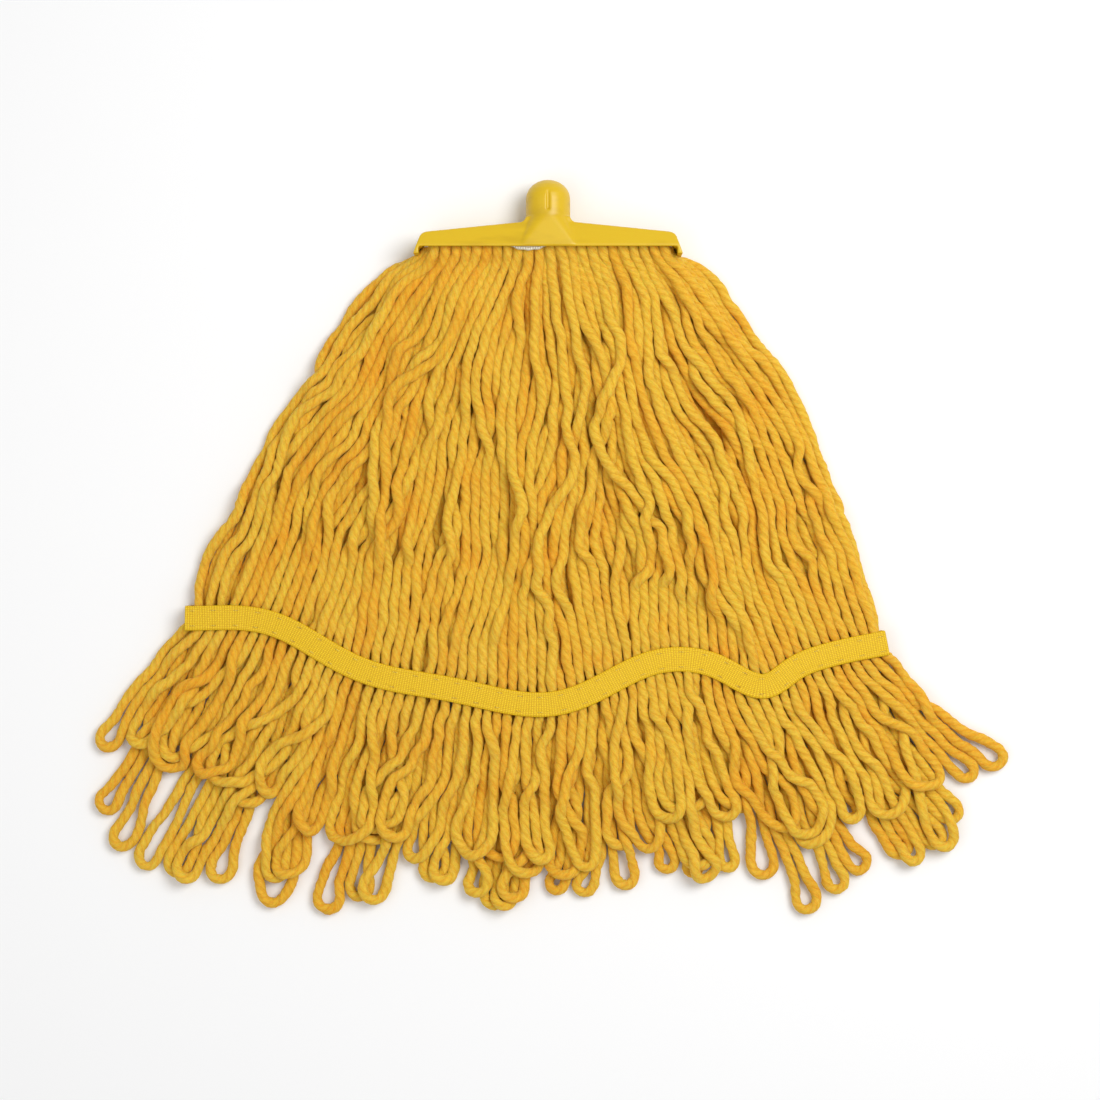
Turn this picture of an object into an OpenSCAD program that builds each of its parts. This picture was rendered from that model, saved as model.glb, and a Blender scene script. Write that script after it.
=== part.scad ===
// Looped-end string mop head: a push-fit neck and yoke, a sewn headband and 70 loops of yarn.
// It lies flat, as it is laid down on a floor: +Z is up, the neck points along +Y and the yarn
// fans out towards -Y. The origin is on the neck's axis, at the middle of its straight wall.

/* [Neck] */
// Outside diameter of the neck that pushes into a handle
neck_diameter = 25; // [23:0.5:26]
// Length of the neck's straight wall
neck_straight = 10; // [8:0.5:10]
// Height of the domed lead-in above the straight wall
neck_dome = 10.8; // [9:0.2:12]
// Width of the key groove in the front of the neck
groove_width = 2; // [1.5:0.1:3]
// Depth of the key groove
groove_depth = 1.2; // [0.8:0.1:1.6]

/* [Yoke] */
// Width of the yoke across its top corners
yoke_width = 150; // [144:1:160]
// Thickness of the yoke at its mouth
yoke_thickness = 28; // [27:0.5:30]
// Wall of the moulding
wall = 2.5; // [2:0.1:2.8]
// Distance from the neck's middle to the lip where the yarn comes out
lip_distance = 23; // [22:0.5:25]
// How far the end cheeks run past the lip
cheek_length = 4; // [2:0.5:6]

/* [Yarn] */
// Thickness of the whole hank of yarn where the yoke holds it
hank_thickness = 20; // [18:0.5:20]
// Distance from the lip to the tail band, along a strand
skirt_length = 248; // [220:1:260]
// Length of the front half's loops past the tail band
front_tail = 100; // [85:1:110]
// Length of the back half's loops past the tail band
back_tail = 116; // [100:1:130]
// How far the back half has slipped out from under the front half on the left
back_slip = 40; // [0:1:45]
// Heading of the outermost strand at the lip, from straight out
root_angle = 45; // [35:1:50]
// Heading of the outermost strand where it meets the tail band
band_angle = 20; // [10:1:30]
// Heading of the outermost front loops past the tail band
front_tip_angle = 48; // [30:1:55]
// Heading of the outermost back loops past the tail band
back_tip_angle = 26; // [20:1:55]

/* [Tail band] */
// Width of the tape sewn across each half
band_width = 14; // [10:0.5:16]
// Thickness of the tape
tape_thickness = 0.8; // [0.5:0.1:1]

/* [Headband] */
// Thickness of the tape sewn over the fold of the yarn
headband_thickness = 0.8; // [0.6:0.1:1]

/* [Bend] */
// Distance from the lip to the line about which the limp yarn bends
bend_distance = 30; // [26:1:36]
// Gap round the bend between the clamped yarn and the free yarn
bend_gap = 0.5; // [0.4:0.1:1]

/* [Hidden] */
bundles = 8; // side by side in each half, four or five loops each

neck_r = neck_diameter / 2;
shoulder_y = -neck_straight / 2;              // the straight wall ends here
dome_y = neck_straight / 2;
top_y = -9;                                   // the yoke's top edge beside the neck
fillet_y = shoulder_y - 0.6;                  // the fillet between neck and top edge starts here
cavity_y = top_y - 3;                         // top of the cavity, at its middle
corner_y = -14.5;                             // the yoke's top edge at its ends
lip_y = -lip_distance;
floor_z = -yoke_thickness / 2;
half_width = yoke_width / 2;
hank_half = yoke_width / 2 - wall - 3;        // half the width of the yarn at the lip
hank_r = hank_thickness / 2;
hinge_y = lip_y - bend_distance;
hank_end = hinge_y + hank_thickness / 2 + bend_gap;
joint_gap = 0.15;                             // between the moulding and the rear cover
flare_length = 60;                            // the fan opens over this length past the band
slip_middle = -0.74;                          // strand at the middle of the slip, and its half width
slip_width = 0.34;
right_slip = 18;                              // a smaller slip of the back half on the right
right_slip_middle = 0.6;
right_slip_width = 0.4;
tape_kink = 11;                               // the tape dips by this much near its right end
kink_middle = 0.62;
kink_width = 0.09;
bundle_gap = 0.0015;                          // between bundles, as a share of the half width

plastic = "#E6C425";
yarn_colour = "#E0AA2E";
tape_colour = "#DDB92A";

function total(v) = v * [for (x = v) 1];
function mix(a, b, share) = a + (b - a) * share;
function arc(cx, cy, r, from, to, steps = 6) =
    [for (i = [0 : steps]) let (a = mix(from, to, i / steps)) [cx + r * cos(a), cy + r * sin(a)]];
function mirrored(points) = [for (i = [len(points) - 1 : -1 : 0]) [-points[i][0], points[i][1]]];

// ---- the fan ----
// A strand is named by t, from -1 at the left edge to 1 at the right, and a place on it by its
// distance s from the lip.

// Heading of the outermost strand at s: straight between the cheeks, then spreading
function edge_heading(s, tip) = s < cheek_length ? 0 : s < skirt_length
    ? mix(root_angle, band_angle, s / skirt_length)
    : mix(band_angle, tip, min(1, (s - skirt_length) / flare_length));

// Place of strand t at s, stepped along its heading. Down to the bend s runs straight out, so that
// all strands bend about one line
function fan(t, s, tip = band_angle) = let (
    steps = max(1, ceil(s / 10)),
    ds = s / steps,
    at = [for (i = [0 : steps - 1]) (i + 0.5) * ds])
    [hank_half * t + ds * total([for (u = at) sin(t * edge_heading(u, tip))]),
     lip_y - ds * total([for (u = at) u < bend_distance ? 1 : cos(t * edge_heading(u, tip))])];

// The band lies in gentle waves across the strands
function bump(t, size, middle, width) = size * exp(-pow((t - middle) / width, 2));
function band_s(t) = skirt_length + 8.7 * cos(320 * (t + 0.154)) + 3.8 * cos(630 * (t - 0.045))
    + bump(t, tape_kink, kink_middle, kink_width);

function front_end(t) = band_s(t) + front_tail;
function back_end(t) = band_s(t) + back_tail + bump(t, back_slip, slip_middle, slip_width)
    + bump(t, right_slip, right_slip_middle, right_slip_width);

// A solid through rings of 2 x half points, each ring going out along the low side and back along
// the high one
module loft(rings) {
    m = len(rings[0]);
    n = len(rings);
    half = m / 2;
    last = (n - 1) * m;
    polyhedron(
        points = [for (r = rings) each r],
        faces = concat(
            [for (j = [0 : half - 2]) each [[j, j + 1, m - 2 - j], [j, m - 2 - j, m - 1 - j]]],
            [for (i = [0 : n - 2], j = [0 : m - 1]) let (k = (j + 1) % m)
                each [[i * m + j, (i + 1) * m + j, (i + 1) * m + k],
                      [i * m + j, (i + 1) * m + k, i * m + k]]],
            [for (j = [0 : half - 2]) each [[last + m - 2 - j, last + j + 1, last + j],
                                            [last + m - 1 - j, last + m - 2 - j, last + j]]]));
}

// ---- the fitting ----

// Yoke outline seen from the front. inset moves it inwards, and an open one runs on past the cheeks
module yoke_outline(inset = 0, open = false) {
    corner = 5 - inset / 2;
    foot_y = open ? lip_y - cheek_length - 5 : lip_y - cheek_length;
    side = half_width + 0.5 - inset;          // the cheeks splay a little
    right = concat(
        inset > 0 ? [[0, cavity_y]]
            : concat([[0, fillet_y]], arc(neck_r + fillet_y - top_y, fillet_y, fillet_y - top_y, 180, 270)),
        arc(half_width - 2.5 - inset - corner, corner_y - inset - corner, corner, 86, 8),
        [[side, foot_y]],
        open ? [] : [[half_width - wall, foot_y], [half_width - wall, lip_y]]);
    polygon(concat(right, mirrored(right)));
}

// Yoke section seen from its end, thickest at the mouth
module yoke_section(inset = 0) {
    mouth = yoke_thickness / 2 - inset;
    top = 10 - inset;
    right = [[top - 1.5, -3], [top - 1, top_y], [top, top_y - 2], [mouth, lip_y + 1], [mouth, lip_y - 10]];
    polygon(concat(right, mirrored(right)));
}

module yoke_solid(inset = 0, open = false) {
    intersection() {
        translate([0, 0, -30]) linear_extrude(60) yoke_outline(inset, open);
        translate([-100, 0, 0]) rotate([0, 90, 0]) linear_extrude(200) yoke_section(inset);
    }
}

// The whole moulded shell before it is split into yoke and rear cover
module yoke_shell() {
    difference() {
        yoke_solid();
        yoke_solid(wall, true);
    }
}

// The part of the shell that the rear cover closes, grown by gap all round
module rear_window(gap = 0) {
    translate([-half_width + 9 - gap, lip_y - 1, floor_z - 1])
        cube([yoke_width - 18 + 2 * gap, lip_distance - 12 + 1 - wall / 2 + gap, yoke_thickness / 2 - 4]);
}

module neck_solid() {
    // Straight wall and dome, turned about the neck's axis
    rotate([-90, 0, 0]) rotate_extrude($fn = 96) polygon(concat(
        [[0, shoulder_y - 0.2], [neck_r, shoulder_y - 0.2], [neck_r, dome_y]],
        [for (a = [15 : 15 : 75]) [neck_r * cos(a), dome_y + neck_dome * sin(a)]],
        [[0, dome_y + neck_dome]]));
}

// Shoulder that spreads from the round neck onto the front of the yoke
module shoulder() {
    hull() {
        translate([0, shoulder_y, 0]) rotate([90, 0, 0]) cylinder(r = neck_r, h = 0.5, $fn = 48);
        for (x = [-1, 1], z = [-1, 1])
            translate([x * (neck_r + 1), lip_y + 1.4, z * (yoke_thickness / 2 - 3.7)])
                rotate([90, 0, 0]) cylinder(r = 4, h = 0.8, $fn = 32);
    }
}

peg_x = [-60, -30, 0, 30, 60];
peg_y = lip_y + 4.5;
peg_r = 2;

module yoke() {
    color(plastic) difference() {
        union() {
            difference() {
                union() { yoke_shell(); neck_solid(); shoulder(); }
                yoke_solid(wall, true);
                rear_window(joint_gap);
            }
        }
        // The neck is cored out from the cavity behind it
        translate([0, dome_y + 4, 0]) rotate([90, 0, 0])
            cylinder(r = neck_r - 3, h = dome_y + 4 + 13, $fn = 64);
        translate([-groove_width / 2, shoulder_y + 2.7, neck_r - groove_depth])
            cube([groove_width, 30, 10]);
        // Sockets for the rear cover's pegs
        for (x = peg_x) translate([x, peg_y, 0])
            cylinder(r = peg_r + joint_gap, h = yoke_thickness / 2 - 2.4, $fn = 32);
    }
}

module rear_cover() {
    color(plastic) {
        intersection() { yoke_shell(); rear_window(); }
        for (x = peg_x) translate([x, peg_y, -yoke_thickness / 2 + 2])
            cylinder(r = peg_r, h = yoke_thickness - 4.6, $fn = 32);
    }
}

// Section of the hank from the fold to the bend, seen from its end and grown by skin
module hank_section(skin, end_y) {
    right = [[4 + skin, lip_y + 11.5 + skin], [7 + skin, lip_y + 8], [hank_r + skin, lip_y],
             [hank_r + skin, end_y]];
    polygon(concat(right, mirrored(right)));
}

// The hank seen from the front: its fold slopes with the top of the cavity, it runs straight past
// the cheeks and then spreads
module hank_outline(skin, half) {
    fold_y = cavity_y - 0.3 - headband_thickness + skin;
    fold_drop = 5.1;                          // from the middle of the fold to its ends
    foot_y = lip_y - cheek_length - 0.3;
    right = [[0, fold_y], [half - 3, fold_y - fold_drop], [half, lip_y + 1.5], [half, foot_y],
             [half + (foot_y - hank_end) * tan(root_angle - 5), hank_end], [half, -100]];
    polygon(concat(right, mirrored(right)));
}

module hank(skin = 0, end_y = hank_end, half = hank_half) {
    intersection() {
        translate([-100, 0, 0]) rotate([0, 90, 0]) linear_extrude(200) hank_section(skin, end_y);
        translate([0, 0, -30]) linear_extrude(60) hank_outline(skin, half);
    }
}

module peg_holes(r) {
    for (x = peg_x) translate([x, peg_y, -20]) cylinder(r = r, h = 40, $fn = 32);
}

// Yarn held in the yoke, from the fold down to where it starts to bend
module clamped_yarn() {
    color(yarn_colour) difference() {
        hank();
        peg_holes(peg_r + 0.1);
    }
}

headband_y = lip_y - 1.4;                     // the tape shows this far below the lip

module headband() {
    color("white") difference() {
        hank(headband_thickness, headband_y);
        hank(0, headband_y - 1, hank_half + 1);
        peg_holes(peg_r + 0.1);
    }
}

// One row of lockstitch through the headband, on its front and back
module headband_stitching() {
    count = 28;
    pitch = 2 * (hank_half - 4) / (count - 1);
    color("ivory") for (side = [-1, 1], i = [0 : count - 1])
        translate([-hank_half + 4 + i * pitch - 1.5, lip_y - 1.1,
                   side > 0 ? hank_r + headband_thickness : -hank_r - headband_thickness - 0.3])
            cube([3, 0.6, 0.3]);
}

// ---- the yarn ----

// Middle height between the two halves, and the outer faces, at each station along the yarn.
// A station is [fixed part of s, share of the band's s, middle, lower face, upper face].
root_stations = [for (a = [20, 45, 70, 90])
    [bend_distance - hank_r * cos(a), 0, 0, -hank_r * sin(a), hank_r * sin(a)]];
skirt_stations = [
    [55, 0, -3, -13, 5.8], [90, 0, -5.6, floor_z, 2.2], [140, 0, -6.7, floor_z, 0.2]];
band_z = [-6.9, floor_z + 0.3 + tape_thickness, -0.5];
band_stations = [for (s = [-band_width - 2, band_width + 2]) [s, 1, band_z[0], band_z[1], band_z[2]]];
tip_stations = [[40, 1, -6.9, floor_z, 0.4]];

function station_s(station, t) = station[0] + station[1] * band_s(t);

// One bundle of yarn: a piece of the fan between two strands, in the front or back half
module bundle(i, front) {
    t0 = mix(-1, 1, i / bundles) + bundle_gap;
    t1 = mix(-1, 1, (i + 1) / bundles) - bundle_gap;
    ts = [t0, (t0 + t1) / 2, t1];
    stations = concat(root_stations, skirt_stations, band_stations, tip_stations);
    function ring(places, low, high) = concat(
        [for (p = places) [p[0], p[1], low]],
        [for (j = [len(places) - 1 : -1 : 0]) [places[j][0], places[j][1], high]]);
    function low(st) = front ? st[2] + tape_thickness : st[3];
    function high(st) = front ? st[4] : st[2] - tape_thickness;
    tip = front ? front_tip_angle : back_tip_angle;
    last = stations[len(stations) - 1];
    color(yarn_colour) loft(concat(
        [for (st = stations) ring([for (t = ts) fan(t, station_s(st, t), tip)], low(st), high(st))],
        [ring([for (t = ts) fan(t, front ? front_end(t) : back_end(t), tip)], low(last), high(last) - 1)]));
}

// A strip across the fan, from s offset low to high about the band's line
module band_strip(low, high, z, thickness) {
    ts = [for (i = [-16 : 16]) i / 16];
    translate([0, 0, z]) linear_extrude(thickness) polygon(concat(
        [for (t = ts) fan(t, band_s(t) + low)],
        [for (i = [len(ts) - 1 : -1 : 0]) fan(ts[i], band_s(ts[i]) + high)]));
}

module tape(z) {
    color(tape_colour) band_strip(-band_width / 2, band_width / 2, z, tape_thickness);
}

// Two rows of stitches along a tape, one stitch to a loop
module tape_stitching(z) {
    count = 35;
    color("ivory") for (row = [-1, 1], i = [0 : count - 1]) {
        t = mix(-0.97, 0.97, i / (count - 1));
        place = fan(t, band_s(t) + row * band_width * 0.3);
        ahead = fan(t + 0.01, band_s(t + 0.01) + row * band_width * 0.3);
        translate([place[0], place[1], z]) rotate([0, 0, atan2(ahead[1] - place[1], ahead[0] - place[0])])
            translate([-1.5, -0.3, 0]) cube([3, 0.6, 0.3]);
    }
}

yoke();
rear_cover();
headband();
headband_stitching();
clamped_yarn();
for (i = [0 : bundles - 1]) {
    bundle(i, true);
    bundle(i, false);
}
tape(band_z[2]);  // front_tape_outer
tape(band_z[0]);  // front_tape_inner
tape(band_z[0] - tape_thickness);  // back_tape_inner
tape(band_z[1] - tape_thickness);  // back_tape_outer
tape_stitching(band_z[2] + tape_thickness);  // front_stitching
tape_stitching(floor_z);  // back_stitching
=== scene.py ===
import math

import bpy
import numpy as np
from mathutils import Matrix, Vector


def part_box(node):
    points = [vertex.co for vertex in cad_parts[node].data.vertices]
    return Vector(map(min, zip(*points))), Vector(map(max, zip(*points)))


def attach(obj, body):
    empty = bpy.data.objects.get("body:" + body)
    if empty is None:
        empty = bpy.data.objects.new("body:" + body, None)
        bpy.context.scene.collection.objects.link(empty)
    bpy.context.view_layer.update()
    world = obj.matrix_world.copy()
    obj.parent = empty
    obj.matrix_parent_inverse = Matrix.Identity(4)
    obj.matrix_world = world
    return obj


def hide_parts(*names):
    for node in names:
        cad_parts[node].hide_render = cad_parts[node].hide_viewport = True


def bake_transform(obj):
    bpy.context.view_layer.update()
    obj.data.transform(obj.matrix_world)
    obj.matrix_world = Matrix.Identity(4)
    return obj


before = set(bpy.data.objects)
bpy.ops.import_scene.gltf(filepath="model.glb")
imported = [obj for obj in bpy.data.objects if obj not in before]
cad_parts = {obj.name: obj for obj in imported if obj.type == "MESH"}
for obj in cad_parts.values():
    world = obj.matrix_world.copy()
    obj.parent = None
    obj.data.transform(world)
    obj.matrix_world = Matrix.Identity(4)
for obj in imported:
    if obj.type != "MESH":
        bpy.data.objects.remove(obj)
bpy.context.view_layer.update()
random = np.random.default_rng(11)
millimetre = 0.001

# The yarn is laid out in millimetres, from faces of the fitting and the floor
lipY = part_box("rear_cover")[0].y / millimetre
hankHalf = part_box("headband")[1].x / millimetre
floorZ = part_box("back_yarn_4")[0].z / millimetre


view = {
    "centre": (0.0011, -0.1929),  # what the camera looks straight down on
    "frameWidth": 0.6204,
    "lens": 85,
    "sensor": 36,
}


def smoothstep(low, high, x):
    share = np.clip((x - low) / (high - low), 0, 1)
    return share * share * (3 - 2 * share)


def addCamera():
    data = bpy.data.cameras.new("camera")
    data.lens = view["lens"]
    data.sensor_width = view["sensor"]
    camera = bpy.data.objects.new("camera", data)
    distance = view["frameWidth"] * view["lens"] / view["sensor"]
    camera.location = (*view["centre"], distance)
    bpy.context.scene.collection.objects.link(camera)
    bpy.context.scene.camera = camera


def addLight(name, place, target, size, power):
    data = bpy.data.lights.new(name, "AREA")
    data.shape = "DISK"
    data.size = size
    data.energy = power
    light = bpy.data.objects.new(name, data)
    light.location = place
    direction = np.array(target) - np.array(place)
    light.rotation_euler = (
        math.atan2(math.hypot(direction[0], direction[1]), -direction[2]),
        0,
        math.atan2(direction[0], -direction[1]) + math.pi,
    )
    bpy.context.scene.collection.objects.link(light)


addCamera()
print("camera placed")


def linear(hexCode):
    # sRGB hex to the linear colour that a socket takes
    parts = [int(hexCode[i : i + 2], 16) / 255 for i in (1, 3, 5)]
    return tuple(c / 12.92 if c <= 0.04045 else ((c + 0.055) / 1.055) ** 2.4 for c in parts) + (1,)


def addNode(tree, kind, links=None, stops=(), **settings):
    # Settings are sockets where the node has one of that name, otherwise the node's own properties.
    # Stops are a colour ramp's places and sRGB colours
    node = tree.nodes.new(kind)
    for name, value in settings.items():
        if name in node.inputs:
            node.inputs[name].default_value = value
        else:
            setattr(node, name, value)
    for socket, source in (links or {}).items():
        tree.links.new(source, node.inputs[socket])
    if stops:
        ramp = node.color_ramp.elements
        while len(ramp) < len(stops):
            ramp.new(0.5)
        for element, (place, hexCode) in zip(ramp, stops):
            element.position = place
            element.color = linear(hexCode)
    return node


def newMaterial(name):
    material = bpy.data.materials.new(name)
    material.use_nodes = True
    tree = material.node_tree
    return material, tree, tree.nodes["Principled BSDF"]


yarnLook = {
    # plyTop, plySide and valley are painted shade: the yarn is painted darker and redder from each ply's crest
    # into the valley between plies
    "plySide": "#E6BB3C",
    "plyTop": "#E9C449",
    "valley": "#DFAA33",
    "paleDye": "#FFFDF0",
    "deepDye": "#FFEBC8",
    "fibreShade": "#D8CCB4",
    "palest": "#FFFFFA",
    "deepest": "#FFF0D8",
}


def spunYarn():
    # Spun cotton and polyester mop yarn, vat dyed: matt and fibrous, with painted shade that makes it darker
    # and redder between the plies
    material, tree, shader = newMaterial("spun cotton and polyester yarn")
    shader.inputs["Roughness"].default_value = 0.9
    shader.inputs["Specular IOR Level"].default_value = 0.2
    shader.inputs["Sheen Weight"].default_value = 0.25
    shader.inputs["Sheen Roughness"].default_value = 0.5
    shader.inputs["Sheen Tint"].default_value = linear("#FFE08A")
    # Light goes 2 mm or so into the loose fibre, and comes out redder in the gaps
    shader.inputs["Subsurface Weight"].default_value = 0.45
    shader.inputs["Subsurface Radius"].default_value = (1.0, 0.42, 0.08)
    shader.inputs["Subsurface Scale"].default_value = 0.0022
    # U counts the plies round the yarn and V is the length in millimetres
    uv = addNode(tree, "ShaderNodeUVMap", uv_map="alongYarn").outputs["UV"]
    split = addNode(tree, "ShaderNodeSeparateXYZ", {"Vector": uv})
    # Loose fibre blurs the lines between plies
    stray = addNode(tree, "ShaderNodeTexNoise", {"Vector": uv}, Scale=0.9, Detail=3.0).outputs["Fac"]
    blurred = addNode(tree, "ShaderNodeMath", {0: stray, 2: split.outputs["X"]},
                      operation="MULTIPLY_ADD")
    blurred.inputs[1].default_value = 0.9
    aroundPly = addNode(tree, "ShaderNodeMath", {0: blurred.outputs[0]}, operation="FRACT")
    fromTop = addNode(tree, "ShaderNodeMath", {0: aroundPly.outputs[0]}, operation="SUBTRACT")
    fromTop.inputs[1].default_value = 0.5
    depth = addNode(tree, "ShaderNodeMath", {0: fromTop.outputs[0]}, operation="ABSOLUTE")
    # Fibres 0.25 mm thick lie nearly along each ply, 3 to 6 mm long
    fibreSpace = addNode(tree, "ShaderNodeMapping", {"Vector": uv}, Scale=(5.0, 0.35, 1))
    fibres = addNode(tree, "ShaderNodeTexNoise", {"Vector": fibreSpace.outputs[0]},
                     Scale=1.0, Detail=3.0, Roughness=0.65).outputs["Fac"]
    # Dye takes unevenly over 20 to 40 mm, and a little differently in each loop
    place = addNode(tree, "ShaderNodeTexCoord").outputs["Object"]
    dye = addNode(tree, "ShaderNodeTexNoise", {"Vector": place}, Scale=38.0, Detail=2.0).outputs["Fac"]
    tint = addNode(tree, "ShaderNodeAttribute", attribute_name="tint").outputs["Fac"]
    white = "#FFFFFF"
    # Painted shade: the colour darkens and reddens from each ply's crest into the valley between plies
    colour = addNode(tree, "ShaderNodeValToRGB", {"Fac": depth.outputs[0]}, stops=[
        (0.0, yarnLook["plyTop"]), (0.32, yarnLook["plySide"]), (0.5, yarnLook["valley"])]).outputs["Color"]
    for source, stops, share in (
            (dye, [(0.34, yarnLook["deepDye"]), (0.5, white), (0.66, yarnLook["paleDye"])], 0.6),
            (fibres, [(0.3, yarnLook["fibreShade"]), (0.6, white)], 0.6),
            (tint, [(0.0, yarnLook["deepest"]), (0.5, white), (1.0, yarnLook["palest"])], 1.0)):
        over = addNode(tree, "ShaderNodeValToRGB", {"Fac": source}, stops=stops).outputs["Color"]
        colour = addNode(tree, "ShaderNodeMix", {"A": colour, "B": over}, data_type="RGBA",
                         blend_type="MULTIPLY", Factor=share).outputs["Result"]
    tree.links.new(colour, shader.inputs["Base Color"])
    bump = addNode(tree, "ShaderNodeBump", {"Height": fibres}, Strength=0.9, Distance=0.0005)
    tree.links.new(bump.outputs["Normal"], shader.inputs["Normal"])
    return material


yarnMaterial = spunYarn()
print("yarn material made")


fan = {
    # Headings of the outermost strands, left and right, in degrees from straight out
    "rootAngle": (44.5, 37.5),  # just past the cheeks
    "bandAngle": (22.5, 21),    # where they meet the tail tape
    "frontTipAngle": (56, 44),  # at the loop ends of each half
    "backTipAngle": (25, 35),
    "clearOfCheeks": 1.2,       # between the outermost strands' middles and the hank's ends
    "cheek": 4,                 # the yoke's cheeks hold the yarn straight this far past the lip
    "skirt": 248,               # lip to tail tape, along a strand
    "bandWaves": ((8.7, 320, -0.154), (3.8, 630, 0.045)),  # height, degrees to a half fan, and crest
    "kink": (11, 0.62, 0.09),   # the tape dips by this much, round this strand, over this half width
    "flare": 60,                # the fan opens over this length past the tape
    "longest": 430,             # no strand goes further than this from the lip
}


def bandDistance(t):
    # The tail tapes lie in gentle waves across the strands
    distance = fan["skirt"]
    for height, turn, crest in fan["bandWaves"]:
        distance = distance + height * np.cos(np.radians(turn * (t - crest)))
    dip, middle, wide = fan["kink"]
    return distance + dip * np.exp(-((t - middle) / wide) ** 2)


def fanPlaces(t, s, tipAngle):
    # Place and heading of strands t, from -1 to 1, at distances s from the lip
    step = 2.0
    grid = np.arange(0.0, fan["longest"] + 1, step)
    middle = (grid[:-1] + step / 2)[None, :]
    angles = (fan["rootAngle"], fan["bandAngle"], tipAngle)
    root, band, tip = (np.where(t < 0, *pair)[:, None] for pair in angles)
    skirt = root + (band - root) * middle / fan["skirt"]
    past = np.clip((middle - fan["skirt"]) / fan["flare"], 0, 1)
    edge = np.where(middle < fan["skirt"], skirt, band + (tip - band) * past)
    edge = np.where(middle < fan["cheek"], 0, edge)
    heading = np.radians(edge) * t[:, None]
    start = np.zeros((len(t), 1))
    aside = np.concatenate([start, np.cumsum(np.sin(heading), axis=1)], axis=1)
    ahead = np.concatenate([start, np.cumsum(np.cos(heading), axis=1)], axis=1)
    x = (hankHalf - fan["clearOfCheeks"]) * t[:, None] + step * aside
    y = lipY - step * ahead
    headingAt = np.concatenate([heading, heading[:, -1:]], axis=1)
    places = np.empty((len(t), s.shape[1], 2))
    turns = np.empty((len(t), s.shape[1]))
    for i in range(len(t)):
        places[i, :, 0] = np.interp(s[i], grid, x[i])
        places[i, :, 1] = np.interp(s[i], grid, y[i]) + np.clip(-s[i], 0, None)
        turns[i] = np.interp(s[i], grid, headingAt[i])
    return places, turns


loops = {
    "count": 35,            # in each half, as sewn under the tail tape
    "diameter": 5.75,       # a little under the yarn's own, as soft strands press into each other
    "lies": 3.9,            # middle of a strand that lies on the floor: its radius and the wander of its plies
    "rows": 3,              # of strands in each half, one on another
    "firstRow": 1.0,        # middle of the first row in the yoke, off the middle of the hank
    "rowGap": 2.6,          # between the rows of yarn packed in the yoke
    "insideYoke": 2.3,      # each loop starts this far inside the lip, just below the cover's pegs
    "frontTail": 97,        # tape to loop end
    "backTail": 113,
    "backSlips": [(42, -0.74, 0.34), (19, 0.6, 0.4)],  # the back half has slipped out: how far, round
                                                       # which strand and over what half width
    "frontWidth": (14, 31),  # of the open end, between the middles of its two legs
    "backWidth": (10, 15),
    "particles": 175,       # one every 4 mm or so
    "settleSteps": 300,
    "bundles": 8,           # of the CAD in each half, which the loops stand for
    "backDeclared": 5,      # 40 cords at most can be declared, and the other back loops are like these
}

frontBandZ = (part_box("front_tape_inner")[1].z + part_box("front_tape_outer")[0].z) / 2 / millimetre
backBandZ = (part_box("back_tape_inner")[0].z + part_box("back_tape_outer")[1].z) / 2 / millimetre


waviness = {
    # How many waves, their lengths along and across the fan, and how far they push a strand aside
    "shared": (7, (150, 300), (70, 170), 9),
    "bunches": (5, (100, 190), (26, 48), 3.4),
    "rows": (5, (120, 240), (50, 110), 4.2),
    "own": (3, (60, 150), (1e6, 2e6), 1.7),      # so long across that each strand keeps its own
    "clumps": (4, (0.25, 0.7), (1e6, 2e6), 13),  # how loop ends lean together, by place across the fan
    "strays": 6,          # strands of the top row that stand well out of line
    "growOver": (4, 70),  # from and to, past the lip
    "fadeOver": (62, 5),  # from and to, short of the tape
}


def waves(count, along, across, size):
    # A smooth field over the fan, as a sum of plane waves
    lengths = random.uniform(*along, count)
    widths = random.uniform(*across, count)
    phases = random.uniform(0, 2 * math.pi, count)
    signs = random.choice([-1, 1], count)
    sizes = random.uniform(0.6, 1.0, count) * size / math.sqrt(count)

    def field(x, s):
        total = 0
        for length, width, phase, sign, one in zip(lengths, widths, phases, signs, sizes):
            total = total + one * np.sin(2 * math.pi * (s / length + sign * x / width) + phase)
        return total

    return field


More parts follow.
